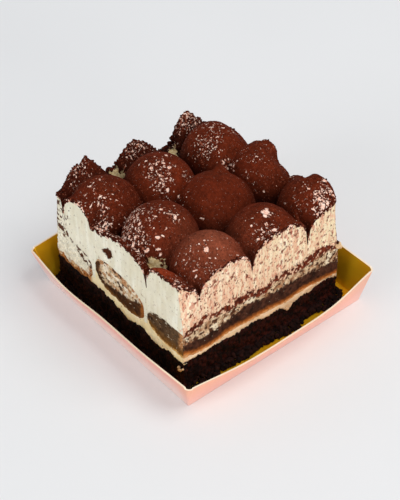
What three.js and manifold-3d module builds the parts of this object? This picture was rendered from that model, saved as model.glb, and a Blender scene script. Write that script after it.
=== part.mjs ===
// A square cut portion of tiramisu standing in its folded gold card tray.
//
// Millimetres, +Z up. The origin is the middle of the tray's underside. The two
// cut faces that show the layers best are the front (-Y) and the right (+X).
// From the tray up: a dark chocolate sponge, a thin layer of custard cream,
// three ladyfingers lying along Y, and the mascarpone cream, whose piped domes
// carry a thin coat of cocoa. Touching pieces keep a gap of 0.3 mm.

import * as THREE from "three";
import { mergeVertices } from "three/addons/utils/BufferGeometryUtils.js";
import Module from "manifold-3d";

// ---------------------------------------------------------------- tray sizes

const CARD = 0.6; // thickness of the gold card
const FLOOR_HALF = 39; // half the side of the tray's square floor
const WALL_SLANT = 15; // height of a wall, measured up its own slope
const FOLD_RADIUS_FOOT = 0.5; // plan radius of a corner fold at the floor
const FOLD_RADIUS_RIM = 2.2; // and at the rim
const FOLD_STEPS = 3; // facets round one corner fold
const WALL_STEPS = 12; // facets along one wall

// How far each rim stands out beyond the floor, at five even stations along
// the wall: it bows outwards in the middle, because the corner folds pull it in.
const RIM_FLARE = {
  front: [4.3, 6.2, 5.5, 5.2, 4.1], // from -X to +X
  right: [5.0, 6.9, 7.1, 6.4, 3.1], // from -Y to +Y
  back: [3.4, 3.4, 5.4, 6.2, 4.3], // from +X to -X
  left: [4.3, 6.4, 7.1, 6.9, 4.9], // from +Y to -Y
};

// ---------------------------------------------------------------- cake sizes

const GAP = 0.3; // clearance between neighbouring pieces
const CAKE_FOOT = CARD + GAP; // underside of the sponge
const CUT = { left: -37.0, right: 32.8, front: -35.9, back: 33.5 };
// The knife leans: each cut side moves in by this much from LEAN_FROM to LEAN_TO.
const LEAN = { left: 1.7, right: 0.5, front: 0.3, back: 3.0 };
const LEAN_FROM = 14;
const LEAN_TO = 46;
// The front right corner is shaved back from the right face towards the top.
const SHAVE = 2.4; // deepest at LEAN_TO
const SHAVE_FROM = 24; // height where it starts
const SHAVE_REACH = 7; // how far it runs back along the right face

const SPONGE_TOP = 10.3; // height of the sponge's top at the origin
const SPONGE_SLOPE_X = 0.02; // rise of that top per millimetre along X
const SPONGE_SLOPE_Y = -0.04; // and along Y
const SPONGE_TOP_CRAGS = 0.7; // relief of the top and of the cut sides
const SPONGE_SIDE_CRAGS = 0.55;
const CREAM_SIDE_CRAGS = 0.12;

// The bottom cream ends on this plane, part of the way up the gaps between the
// ladyfingers, and the mascarpone starts above it.
const SEAM_HEIGHT = 15.3;
const SEAM_SLOPE_Y = -0.035;

// A ladyfinger's section is a rounded oval: centre, width, thickness, tilt.
const FINGER_SQUARENESS = 2.7;
const FINGER_SLOPE_Y = -0.035; // they sink towards the back with the sponge
const FINGER_CRUST = 0.3; // relief of their crust
const FINGER_AROUND = 24;
const FINGER_ALONG = 12;
const FINGERS = [
  { x: -29.9, z: 17.7, width: 27.4, thick: 12.0, growth: 0, tilt: 0 },
  { x: -1.0, z: 20.5, width: 26.8, thick: 13.0, growth: 0, tilt: -4.5 },
  { x: 27.3, z: 18.9, width: 26.8, thick: 10.5, growth: 3.0, tilt: 0 },
];

// The piped domes stand on the cream bed. A fullness of 2 is a half-ellipsoid,
// and less is a pointed peak, as the knife drags up at the left cut side.
const CREAM_BED = 36; // height of the cream in the hollows between domes
const ROUND = 2;
const PEAKED = 1.4;
const TIPPED = 1.25; // the point that the nozzle left on the middle dome
const DOMES = [
  // the row at the right cut side, front to back
  { x: 25.0, y: -41.0, radius: 12.4, top: 46.0, fullness: ROUND },
  { x: 24.1, y: -17.9, radius: 12.9, top: 50.2, fullness: ROUND },
  { x: 24.8, y: 4.6, radius: 13.0, top: 50.2, fullness: 1.85 },
  { x: 24.2, y: 27.6, radius: 12.4, top: 49.7, fullness: ROUND },
  // the second row
  { x: 3.0, y: -42.6, radius: 12.6, top: 44.5, fullness: ROUND },
  { x: 3.2, y: -21.1, radius: 13.3, top: 50.8, fullness: ROUND },
  { x: 2.4, y: 3.2, radius: 14.0, top: 49.8, fullness: 1.9 },
  { x: -1.6, y: 8.6, radius: 7.4, top: 51.2, fullness: TIPPED },
  { x: 0.8, y: 25.6, radius: 12.8, top: 50.2, fullness: ROUND },
  // the third row
  { x: -20.2, y: -26.1, radius: 13.2, top: 49.3, fullness: 1.9 },
  { x: -17.1, y: -5.2, radius: 13.0, top: 50.4, fullness: ROUND },
  { x: -17.2, y: 20.8, radius: 13.4, top: 51.0, fullness: ROUND },
  { x: -17.0, y: 43.5, radius: 12.6, top: 49.0, fullness: ROUND },
  // the row that the left cut goes through
  { x: -37.0, y: -23.6, radius: 10.8, top: 50.2, fullness: PEAKED },
  { x: -37.0, y: -2.4, radius: 10.8, top: 46.4, fullness: PEAKED },
  { x: -37.0, y: 21.6, radius: 10.4, top: 47.4, fullness: PEAKED },
  { x: -38.0, y: 43.0, radius: 11.6, top: 44.0, fullness: PEAKED },
];
// What the cuts leave of the domes: arcs along each cut edge, by place along it,
// half width and height. The knife squares the arcs off, and drags the left ones
// up into peaks.
const SQUARED = 2.6;
const BLOCKY = 4;
const DRAGGED = 1.2;
const CUT_ARCS = {
  front: [
    { at: -38.0, half: 6.5, top: 41.0, fullness: SQUARED },
    { at: -23.2, half: 7.7, top: 44.4, fullness: 2.2 },
    { at: -10.5, half: 9.0, top: 39.6, fullness: SQUARED },
    { at: 1.5, half: 12.2, top: 42.4, fullness: SQUARED },
    { at: 24.4, half: 10.4, top: 44.3, fullness: SQUARED },
  ],
  right: [
    { at: -38.0, half: 9.6, top: 45.0, fullness: SQUARED },
    { at: -17.6, half: 11.3, top: 45.6, fullness: SQUARED },
    { at: 5.4, half: 12.2, top: 46.7, fullness: SQUARED },
    { at: 29.6, half: 11.4, top: 44.4, fullness: SQUARED },
  ],
  back: [
    { at: -35.5, half: 7.0, top: 38.2, fullness: PEAKED },
    { at: -19.5, half: 10.0, top: 44.0, fullness: ROUND },
    { at: -3.0, half: 9.2, top: 48.0, fullness: ROUND },
    { at: -0.9, half: 4.2, top: 50.0, fullness: BLOCKY },
    { at: 1.5, half: 9.6, top: 43.8, fullness: SQUARED },
    { at: 17.5, half: 9.0, top: 45.3, fullness: ROUND },
    { at: 25.3, half: 7.9, top: 50.9, fullness: SQUARED },
  ],
  left: [
    { at: -26.9, half: 9.2, top: 48.0, fullness: PEAKED },
    { at: -23.1, half: 8.6, top: 49.8, fullness: DRAGGED },
    { at: -12.2, half: 3.0, top: 38.9, fullness: ROUND },
    { at: -3.6, half: 8.6, top: 45.6, fullness: PEAKED },
    { at: -2.4, half: 10.4, top: 46.4, fullness: DRAGGED },
    { at: 20.9, half: 6.2, top: 47.1, fullness: 1.7 },
    { at: 27.0, half: 3.2, top: 43.8, fullness: ROUND },
  ],
};
const CUT_REACH = 3.6; // how far in from the edge the knife's drag reaches
const CREAM_CRAGS = 0.25; // relief of the dusted domes
const COCOA = 0.6; // thickness of the cocoa coat

const TOP_CELLS = 28; // cells across the domed top
const LAYER_CELLS = 18; // cells across the sponge and the bottom cream

// --------------------------------------------------------------------- noise

// Smooth noise from -1 to 1 with features about `size` millimetres across.
function hash(x, y, z, seed) {
  let h = (x * 374761393 + y * 668265263 + z * 2147483647 + seed * 144665) | 0;
  h = Math.imul(h ^ (h >>> 13), 1274126177);
  h = Math.imul(h ^ (h >>> 16), 2246822519);
  return (((h ^ (h >>> 13)) >>> 0) / 4294967295) * 2 - 1;
}

function noise(x, y, z, size, seed) {
  const cell = [x, y, z].map((v) => Math.floor(v / size));
  const f = [x, y, z].map((v, i) => v / size - cell[i]);
  const s = f.map((t) => t * t * (3 - 2 * t));
  let sum = 0;
  for (let corner = 0; corner < 8; corner++) {
    const bit = [corner & 1, (corner >> 1) & 1, (corner >> 2) & 1];
    const weight = bit.reduce((w, b, i) => w * (b ? s[i] : 1 - s[i]), 1);
    sum += weight * hash(cell[0] + bit[0], cell[1] + bit[1], cell[2] + bit[2], seed);
  }
  return sum;
}

// ------------------------------------------------------------- shape helpers

const { lerp, smoothstep, degToRad } = THREE.MathUtils;

// The rectangle that the four cuts leave at height z.
function cutAt(z) {
  const lean = smoothstep(z, LEAN_FROM, LEAN_TO);
  return {
    left: CUT.left + LEAN.left * lean,
    right: CUT.right - LEAN.right * lean,
    front: CUT.front + LEAN.front * lean,
    back: CUT.back - LEAN.back * lean,
  };
}

// The point of the cut block at shares (u, v) of its width and depth, on the
// surface z = height(x, y). The rectangle depends on z, so it is found in steps.
function blockPoint(u, v, height) {
  const point = new THREE.Vector3(0, 0, LEAN_FROM);
  for (let step = 0; step < 4; step++) {
    const cut = cutAt(point.z);
    point.y = lerp(cut.front, cut.back, v);
    const shave = SHAVE * smoothstep(point.z, SHAVE_FROM, LEAN_TO);
    const fade = 1 - smoothstep(point.y - cut.front, 0, SHAVE_REACH);
    point.x = lerp(cut.left, cut.right - shave * fade, u);
    point.z = height(point.x, point.y);
  }
  return point;
}

function geometryFrom(points, faces) {
  const geometry = new THREE.BufferGeometry();
  const flat = points.flatMap((p) => [p.x, p.y, p.z]);
  geometry.setAttribute("position", new THREE.Float32BufferAttribute(flat, 3));
  geometry.setIndex(faces.flat());
  return geometry;
}

// Grid places (i, j) round the edge of an n by n grid, anticlockwise from the
// front left corner.
function edgePlaces(n) {
  const places = [];
  for (let i = 0; i < n; i++) places.push([i, 0]);
  for (let i = 0; i < n; i++) places.push([n, i]);
  for (let i = 0; i < n; i++) places.push([n - i, n]);
  for (let i = 0; i < n; i++) places.push([0, n - i]);
  return places;
}

// A closed layer of the cut block between two height functions. Its sides are
// cut faces with `rows` bands, pushed in and out by side relief; a flat
// underside is one fan, and any other has the same grid as the top.
function layer({ bottom, top, cells, rows, sideCrags, crumb, seed, flatBottom }) {
  const points = [];
  const faces = [];
  const centre = new THREE.Vector3();
  const add = (p) => points.push(p) - 1;

  const sideIndex = new Map(); // "level:i:j" of a side vertex -> its index
  const edge = edgePlaces(cells);
  const outwards = (k) => (k === cells ? 1 : 0) - (k === 0 ? 1 : 0);
  for (let level = 0; level <= rows; level++) {
    edge.forEach(([i, j]) => {
      const low = blockPoint(i / cells, j / cells, bottom);
      const high = blockPoint(i / cells, j / cells, top);
      const z = lerp(low.z, high.z, level / rows);
      const p = blockPoint(i / cells, j / cells, () => z);
      const push = sideCrags * noise(p.x, p.y, p.z, crumb, seed);
      p.addScaledVector(new THREE.Vector3(outwards(i), outwards(j), 0).normalize(), push);
      sideIndex.set(level + ":" + i + ":" + j, add(p));
    });
  }
  const side = (level, [i, j]) => sideIndex.get(level + ":" + i + ":" + j);
  for (let level = 0; level < rows; level++) {
    edge.forEach((place, k) => {
      const next = edge[(k + 1) % edge.length];
      const [a, b] = [side(level, place), side(level, next)];
      const [c, d] = [side(level + 1, next), side(level + 1, place)];
      faces.push([a, b, c], [a, c, d]);
    });
  }

  const grid = (level, height, up) => {
    const index = [];
    for (let j = 0; j <= cells; j++) {
      for (let i = 0; i <= cells; i++) {
        index.push(side(level, [i, j]) ?? add(blockPoint(i / cells, j / cells, height)));
      }
    }
    for (let j = 0; j < cells; j++) {
      for (let i = 0; i < cells; i++) {
        const a = index[j * (cells + 1) + i];
        const b = index[j * (cells + 1) + i + 1];
        const c = index[(j + 1) * (cells + 1) + i + 1];
        const d = index[(j + 1) * (cells + 1) + i];
        if (up) faces.push([a, b, c], [a, c, d]);
        else faces.push([a, c, b], [a, d, c]);
      }
    }
  };
  grid(rows, top, true);
  if (flatBottom) {
    edge.forEach((place) => centre.add(points[side(0, place)]));
    const hub = add(centre.divideScalar(edge.length));
    edge.forEach((place, k) => {
      faces.push([hub, side(0, edge[(k + 1) % edge.length]), side(0, place)]);
    });
  } else {
    grid(0, bottom, false);
  }
  return geometryFrom(points, faces);
}

// ---------------------------------------------------------------------- tray

// Rim flare at share t, from 0 to 1, along a wall.
function flareAt(flare, t) {
  const stations = flare.map((f, i) => new THREE.Vector2(i / (flare.length - 1), f));
  return new THREE.SplineCurve(stations).getPoint(t).y;
}

// One wall's outline, seen from outside as +along, with its outward direction.
const WALLS = [
  { flare: RIM_FLARE.front, along: [1, 0], out: [0, -1] },
  { flare: RIM_FLARE.right, along: [0, 1], out: [1, 0] },
  { flare: RIM_FLARE.back, along: [-1, 0], out: [0, 1] },
  { flare: RIM_FLARE.left, along: [0, -1], out: [-1, 0] },
];

// Outer foot and rim points right round the tray, with the outward direction
// at each. The corner folds are cones, narrow at the foot and wider at the rim.
function trayStations() {
  const stations = [];
  WALLS.forEach((wall, w) => {
    const before = WALLS[(w + 3) % 4].flare.at(-1);
    const after = WALLS[(w + 1) % 4].flare[0];
    for (let i = 0; i <= WALL_STEPS; i++) {
      const t = i / WALL_STEPS;
      const foot = lerp(-1, 1, t) * (FLOOR_HALF - FOLD_RADIUS_FOOT);
      const out = flareAt(wall.flare, t);
      const start = -(FLOOR_HALF + before - FOLD_RADIUS_RIM);
      const end = FLOOR_HALF + after - FOLD_RADIUS_RIM;
      const rim = lerp(start, end, t);
      const skew = rim - foot;
      const rise = Math.sqrt(WALL_SLANT ** 2 - out ** 2 - skew ** 2);
      stations.push(station(wall, foot, FLOOR_HALF, rim, FLOOR_HALF + out, rise, wall.out));
    }
    // the fold between this wall and the next one
    const next = WALLS[(w + 1) % 4];
    const [outHere, outNext] = [wall.flare.at(-1), next.flare[0]];
    const rise = Math.sqrt(WALL_SLANT ** 2 - outHere ** 2 - outNext ** 2);
    for (let k = 1; k < FOLD_STEPS; k++) {
      const turn = (Math.PI / 2) * (k / FOLD_STEPS);
      const [s, c] = [Math.sin(turn), Math.cos(turn)];
      const foot = FLOOR_HALF - FOLD_RADIUS_FOOT * (1 - s);
      const footOut = FLOOR_HALF - FOLD_RADIUS_FOOT * (1 - c);
      const rim = FLOOR_HALF + outNext - FOLD_RADIUS_RIM * (1 - s);
      const rimOut = FLOOR_HALF + outHere - FOLD_RADIUS_RIM * (1 - c);
      const out = [0, 1].map((i) => wall.out[i] * c + wall.along[i] * s);
      stations.push(station(wall, foot, footOut, rim, rimOut, rise, out));
    }
  });
  return stations;
}

function station(wall, foot, footOut, rim, rimOut, rise, out) {
  const place = (along, outwards, z) =>
    new THREE.Vector3(
      wall.along[0] * along + wall.out[0] * outwards,
      wall.along[1] * along + wall.out[1] * outwards,
      z,
    );
  return {
    foot: place(foot, footOut, 0),
    rim: place(rim, rimOut, rise),
    inwards: new THREE.Vector3(-out[0], -out[1], 0),
  };
}

function trayGeometry() {
  const stations = trayStations();
  const n = stations.length;
  const rings = [
    stations.map((s) => s.foot),
    stations.map((s) => s.rim),
    stations.map((s) => s.rim.clone().addScaledVector(s.inwards, CARD)),
    stations.map((s) => {
      const p = s.foot.clone().lerp(s.rim, CARD / s.rim.z);
      return p.addScaledVector(s.inwards, CARD).setZ(CARD);
    }),
  ];
  const points = rings.flat();
  const faces = [];
  for (let r = 0; r < rings.length - 1; r++) {
    for (let i = 0; i < n; i++) {
      const j = (i + 1) % n;
      faces.push([r * n + i, r * n + j, (r + 1) * n + j]);
      faces.push([r * n + i, (r + 1) * n + j, (r + 1) * n + i]);
    }
  }
  const below = points.push(new THREE.Vector3(0, 0, 0)) - 1;
  const above = points.push(new THREE.Vector3(0, 0, CARD)) - 1;
  for (let i = 0; i < n; i++) {
    const j = (i + 1) % n;
    faces.push([below, j, i]);
    faces.push([above, 3 * n + i, 3 * n + j]);
  }
  return geometryFrom(points, faces);
}

// --------------------------------------------------------------------- layers

function spongeTop(x, y) {
  const crags = noise(x, y, 0, 5, 11) + 0.6 * noise(x, y, 0, 2.6, 12);
  return SPONGE_TOP + SPONGE_SLOPE_X * x + SPONGE_SLOPE_Y * y + SPONGE_TOP_CRAGS * crags;
}

function seam(x, y) {
  return SEAM_HEIGHT + SEAM_SLOPE_Y * y;
}

// Height of a rounded rise at a distance from its middle, in half widths.
function rise(distance, top, fullness) {
  const away = Math.min(1, Math.abs(distance));
  return lerp(CREAM_BED, top, (1 - away ** fullness) ** (1 / fullness));
}

// Distance in from each cut edge at the top, and the place along that edge.
function fromEdges(x, y) {
  return [
    [CUT_ARCS.left, x - CUT.left - LEAN.left, y],
    [CUT_ARCS.right, CUT.right - LEAN.right - x, y],
    [CUT_ARCS.front, y - CUT.front - LEAN.front, x],
    [CUT_ARCS.back, CUT.back - LEAN.back - y, x],
  ];
}

function creamTop(x, y) {
  const rises = DOMES.map((dome) => {
    const distance = Math.hypot(x - dome.x, y - dome.y) / dome.radius;
    return rise(distance, dome.top, dome.fullness);
  });
  let height = Math.max(...rises);
  fromEdges(x, y).forEach(([arcs, inwards, place]) => {
    const cut = arcs.map((arc) => rise((place - arc.at) / arc.half, arc.top, arc.fullness));
    const share = Math.exp(-((Math.max(0, inwards) / CUT_REACH) ** 2));
    height = lerp(height, Math.max(...cut), share);
  });
  return height + CREAM_CRAGS * noise(x, y, 0, 3.2, 31);
}

// One ladyfinger as a closed solid along Y, longer than the cake, grown by
// `grow` on every side.
function fingerGeometry(finger, index, grow) {
  const reach = FLOOR_HALF + 1;
  const tilt = degToRad(finger.tilt);
  const points = [];
  const faces = [];
  for (let j = 0; j <= FINGER_ALONG; j++) {
    const t = j / FINGER_ALONG;
    const y = lerp(-reach, reach, t);
    const halfWidth = finger.width / 2;
    const halfThick = (finger.thick + finger.growth * t) / 2;
    for (let i = 0; i < FINGER_AROUND; i++) {
      const turn = (2 * Math.PI * i) / FINGER_AROUND;
      const [c, s] = [Math.cos(turn), Math.sin(turn)];
      const power = 2 / FINGER_SQUARENESS;
      const crust = FINGER_CRUST * noise(10 * c, y, 10 * s, 4, 50 + index);
      const x = Math.sign(c) * Math.abs(c) ** power * (halfWidth + crust) + c * grow;
      const z = Math.sign(s) * Math.abs(s) ** power * (halfThick + crust) + s * grow;
      points.push(
        new THREE.Vector3(
          finger.x + x * Math.cos(tilt) - z * Math.sin(tilt),
          y,
          finger.z + FINGER_SLOPE_Y * y + x * Math.sin(tilt) + z * Math.cos(tilt),
        ),
      );
    }
  }
  const at = (j, i) => j * FINGER_AROUND + (i % FINGER_AROUND);
  for (let j = 0; j < FINGER_ALONG; j++) {
    for (let i = 0; i < FINGER_AROUND; i++) {
      faces.push([at(j, i), at(j + 1, i + 1), at(j, i + 1)]);
      faces.push([at(j, i), at(j + 1, i), at(j + 1, i + 1)]);
    }
  }
  for (let i = 1; i < FINGER_AROUND - 1; i++) {
    faces.push([at(0, 0), at(0, i), at(0, i + 1)]);
    faces.push([at(FINGER_ALONG, 0), at(FINGER_ALONG, i + 1), at(FINGER_ALONG, i)]);
  }
  return geometryFrom(points, faces);
}

// The plain cut block, which trims the ladyfingers to the four cut sides.
function cutBlockGeometry() {
  return layer({
    bottom: () => CAKE_FOOT,
    top: () => LEAN_TO,
    cells: 1,
    rows: 6,
    sideCrags: 0,
    crumb: 1,
    seed: 0,
    flatBottom: true,
  });
}

// The cocoa coat lies on the cream's own grid, so it follows every facet.
function cocoaGeometry() {
  const under = (x, y) => creamTop(x, y) + GAP;
  const over = (x, y) => creamTop(x, y) + GAP + COCOA;
  const settings = { cells: TOP_CELLS, rows: 1, sideCrags: 0, crumb: 1, seed: 0 };
  return layer({ ...settings, bottom: under, top: over, flatBottom: false });
}

// ------------------------------------------------------------------- booleans

const manifold = await Module();
manifold.setup();

function solid(geometry) {
  const merged = mergeVertices(geometry, 1e-3);
  return new manifold.Manifold(
    new manifold.Mesh({
      numProp: 3,
      vertProperties: merged.attributes.position.array,
      triVerts: new Uint32Array(merged.index.array),
    }),
  );
}

function geometryOf(body) {
  const mesh = body.getMesh();
  const geometry = new THREE.BufferGeometry();
  const flat = Array.from(mesh.vertProperties);
  geometry.setAttribute("position", new THREE.Float32BufferAttribute(flat, 3));
  geometry.setIndex(Array.from(mesh.triVerts));
  return geometry;
}

// ------------------------------------------------------------------- assembly

const tiramisu = new THREE.Group();

function addPiece(name, geometry, color, roughness, metalness) {
  const material = new THREE.MeshStandardMaterial({ color, roughness, metalness });
  geometry.computeVertexNormals();
  const mesh = new THREE.Mesh(geometry, material);
  mesh.name = name;
  tiramisu.add(mesh);
}

addPiece("tray", trayGeometry(), 0xd9a441, 0.3, 0.9);

const spongeGeometry = layer({
  bottom: () => CAKE_FOOT,
  top: spongeTop,
  cells: LAYER_CELLS,
  rows: 4,
  sideCrags: SPONGE_SIDE_CRAGS,
  crumb: 3.4,
  seed: 21,
  flatBottom: true,
});
addPiece("chocolate_sponge", spongeGeometry, 0x26120c, 0.95, 0);

const fingerRoom = FINGERS.map((finger, i) => solid(fingerGeometry(finger, i, GAP)));
const withoutFingers = (body) => fingerRoom.reduce((b, room) => b.subtract(room), body);

const custardLayer = layer({
  bottom: (x, y) => spongeTop(x, y) + GAP,
  top: (x, y) => seam(x, y) - GAP / 2,
  cells: LAYER_CELLS,
  rows: 2,
  sideCrags: CREAM_SIDE_CRAGS,
  crumb: 3.4,
  seed: 22,
  flatBottom: false,
});
const custard = withoutFingers(solid(custardLayer));
addPiece("custard_cream", geometryOf(custard), 0xe9d9a6, 0.6, 0);

const block = solid(cutBlockGeometry());
FINGERS.forEach((finger, i) => {
  const trimmed = solid(fingerGeometry(finger, i, 0)).intersect(block);
  addPiece("ladyfinger_" + (i + 1), geometryOf(trimmed), 0xc8a47c, 0.9, 0);
});

const creamLayer = layer({
  bottom: (x, y) => seam(x, y) + GAP / 2,
  top: creamTop,
  cells: TOP_CELLS,
  rows: 4,
  sideCrags: CREAM_SIDE_CRAGS,
  crumb: 3.4,
  seed: 23,
  flatBottom: true,
});
const cream = withoutFingers(solid(creamLayer));
addPiece("mascarpone_cream", geometryOf(cream), 0xf1e8d8, 0.6, 0);

addPiece("cocoa_coat", cocoaGeometry(), 0x6b2f20, 1, 0);

export default tiramisu;
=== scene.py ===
"""Looks for the tiramisu portion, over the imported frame.

Shapes are worked out in millimetres, in the frame of the CAD model, and turned
into metres when a mesh is made. The block is one outer skin: four cut sides,
split into the layers that show on them, and the domed top under its cocoa.
"""

import math
from functools import reduce

import bmesh
import bpy
import numpy as np
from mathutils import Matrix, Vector


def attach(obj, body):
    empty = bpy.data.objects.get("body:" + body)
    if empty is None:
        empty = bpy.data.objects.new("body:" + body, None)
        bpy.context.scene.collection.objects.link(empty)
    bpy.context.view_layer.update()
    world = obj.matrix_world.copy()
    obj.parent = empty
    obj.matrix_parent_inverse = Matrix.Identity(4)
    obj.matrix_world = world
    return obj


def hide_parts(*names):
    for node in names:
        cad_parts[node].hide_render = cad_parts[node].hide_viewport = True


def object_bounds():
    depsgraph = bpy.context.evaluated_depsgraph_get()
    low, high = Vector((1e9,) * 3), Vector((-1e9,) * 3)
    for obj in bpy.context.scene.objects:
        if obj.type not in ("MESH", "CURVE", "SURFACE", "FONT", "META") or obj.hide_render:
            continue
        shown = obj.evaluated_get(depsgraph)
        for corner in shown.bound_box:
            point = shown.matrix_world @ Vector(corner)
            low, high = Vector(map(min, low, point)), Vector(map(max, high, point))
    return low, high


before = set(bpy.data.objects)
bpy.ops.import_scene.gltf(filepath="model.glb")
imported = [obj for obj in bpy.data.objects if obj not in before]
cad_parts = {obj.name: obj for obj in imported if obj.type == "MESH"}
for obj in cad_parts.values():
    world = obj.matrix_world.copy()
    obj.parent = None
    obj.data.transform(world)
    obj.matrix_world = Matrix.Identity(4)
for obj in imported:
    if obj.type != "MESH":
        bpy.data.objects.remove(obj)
cad_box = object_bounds()
scene = bpy.context.scene

MM = 0.001

# ------------ the forms

CARD = 0.6
FLOOR_HALF = 39
WALL_SLANT = 15
FOOT_FOLD, RIM_FOLD = 0.5, 2.2  # radii of the folded corners
# How far each wall leans out at its ends, quarters and middle, going round from the front.
RIM_FLARE = {
    "front": (4.3, 6.2, 5.5, 5.2, 4.1),
    "right": (5, 6.9, 7.1, 6.4, 3.1),
    "back": (3.4, 3.4, 5.4, 6.2, 4.3),
    "left": (4.3, 6.4, 7.1, 6.9, 4.9),
}

CAKE_FOOT = CARD + 0.3
FOOT_HEIGHT = 12  # where the cake's outline is taken, below LEAN_FROM
LEFT, RIGHT, FRONT, BACK = -37, 32.8, -35.9, 33.5  # the cuts, at the cake's foot
LEAN = {"left": 1.7, "right": 0.5, "front": 0.3, "back": 3}
LEAN_FROM, LEAN_TO = 14, 46
SHAVE, SHAVE_FROM, SHAVE_REACH = 2.4, 24, 7

SEAM_HEIGHT, SEAM_SLOPE_Y = 15.3, -0.035
FINGER_SQUARENESS = 2.7
FINGER_SLOPE_Y = -0.035
# x, z, width, thickness, growth towards the back, tilt in degrees
FINGERS = (
    (-29.9, 17.7, 27.4, 12, 0, 0),
    (-1, 20.5, 26.8, 13, 0, -4.5),
    (27.3, 18.9, 26.8, 10.5, 3, 0),
)
LAST = 2  # the right cut runs along this one

CREAM_BED = 36
TOP_GUESS, TOP_PASSES = 40, 8  # the cuts lean, so a point's height takes a few passes to find
COCOA_TOP = 0.9  # the coat's outer face above the cream
# x, y, radius, top, fullness
DOMES = (
    (25, -41, 12.4, 46, 2), (24.1, -17.9, 12.9, 50.2, 2), (24.8, 4.6, 13, 50.2, 1.85),
    (24.2, 27.6, 12.4, 49.7, 2), (3, -42.6, 12.6, 44.5, 2), (3.2, -21.1, 13.3, 50.8, 2),
    (2.4, 3.2, 14, 49.8, 1.9), (-1.6, 8.6, 7.4, 51.2, 1.25), (0.8, 25.6, 12.8, 50.2, 2),
    (-20.2, -26.1, 13.2, 49.3, 1.9), (-17.1, -5.2, 13, 50.4, 2), (-17.2, 20.8, 13.4, 51, 2),
    (-17, 43.5, 12.6, 49, 2), (-37, -23.6, 10.8, 50.2, 1.4), (-37, -2.4, 10.8, 46.4, 1.4),
    (-37, 21.6, 10.4, 47.4, 1.4), (-38, 43, 11.6, 44, 1.4),
)

# What the cuts leave of the domes: place along the edge, half width, top, fullness.
CUT_ARCS = {
    "front": ((-38, 6.5, 41, 2.6), (-23.2, 7.7, 44.4, 2.2), (-10.5, 9, 39.6, 2.6),
              (1.5, 12.2, 42.4, 2.6), (24.4, 10.4, 44.3, 2.6)),
    "right": ((-38, 9.6, 45, 2.6), (-17.6, 11.3, 45.6, 2.6), (5.4, 12.2, 46.7, 2.6),
              (29.6, 11.4, 44.4, 2.6)),
    "back": ((-35.5, 7, 38.2, 1.4), (-19.5, 10, 44, 2), (-3, 9.2, 48, 2),
             (-0.9, 4.2, 50, 4), (1.5, 9.6, 43.8, 2.6), (17.5, 9, 45.3, 2),
             (25.3, 7.9, 50.9, 2.6)),
    "left": ((-26.9, 9.2, 48, 1.4), (-23.1, 8.6, 49.8, 1.2), (-12.2, 3, 38.9, 2),
             (-3.6, 8.6, 45.6, 1.4), (-2.4, 10.4, 46.4, 1.2), (20.9, 6.2, 47.1, 1.7),
             (27, 3.2, 43.8, 2)),
}
CUT_REACH = 3.6  # how far in from a cut its arcs shape the top
NOTCH_WIDTH = 0.9
# Narrow V-shaped ends of the creases at the cuts: place along the edge, depth.
NOTCHES = {
    "front": ((-31.3, 0.9), (-15.6, 0.8), (13.7, 2.2)),
    "right": ((-28.9, 1.6), (-6.5, 3), (17.9, 2)),
    "back": (),
    "left": (),
}

# Dark crumbs strung along and above the first ladyfinger's upper edge: x, z.
CHAIN = ((-37.5, 28.6), (-34.9, 27.8), (-28.9, 26.2), (-26, 24.1), (-20.5, 21.4), (-17, 20.3))
CAVITY = (-7.6, 33)  # a hollow that tore open in the front cut: x, z
DRAPE = 0.9  # how far the cocoa hangs over the cuts

# How far sponge crumbs lie from the front, right, back and left of the cake, and, on the
# right, how far at each y.
CRUMB_REACH = np.array((2.6, 4, 3, 1.6))
CRUMB_REACH_RIGHT = (
    (-36, 5.4), (-25, 4.8), (-22, 3), (-13, 3), (0, 2.6), (7, 3.8), (11, 4.6), (16, 2.6),
    (24, 2.6), (27, 4.4), (34, 3),
)
# Loose pale crumbs: x, y, z, size.
PALE_CRUMBS = (
    (31.6, -36.3, 9.1, 1.5), (30.7, -36.2, 9.7, 1.1), (32.6, -36.1, 10.1, 0.9),
    (32.5, 32.7, 25, 2.6), (32.7, 33.3, 24.1, 1.8), (36, 34, 1.3, 1.4),
)
# Larger bits of cocoa at the back right corner and down the left cut: x, y, z, size.
EDGE_CRUMBS = (
    (-35.9, -12.9, 38.9, 2.4), (32.2, 32.5, 26.2, 1.6), (-35, 13.6, 37.8, 2.2),
    (-35, 15, 39.6, 2.4), (-35.1, 16, 41.4, 2), (-35.1, 17, 43.4, 1.6),
)

# ------------ what the cuts show

# Height of the sponge's ragged top along the front cut (x, z) and the right one (y, z).
SPONGE_FRONT = (
    (-37, 12.1), (-33, 12.3), (-24.6, 12), (-17.3, 13.3), (-11, 13.1), (-3, 12.4), (2.5, 10.9),
    (11, 12.4), (19, 10.7), (24.5, 12.1), (33, 12.1),
)
SPONGE_RIGHT = (
    (-36, 12.6), (-22, 12.5), (-17, 11.9), (-4, 11.8), (0.4, 10.8), (7.9, 10.3), (10.4, 7.4),
    (12.6, 9.8), (16.8, 11.1), (21.6, 10.6), (27, 11.5), (34, 10.2),
)
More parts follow.
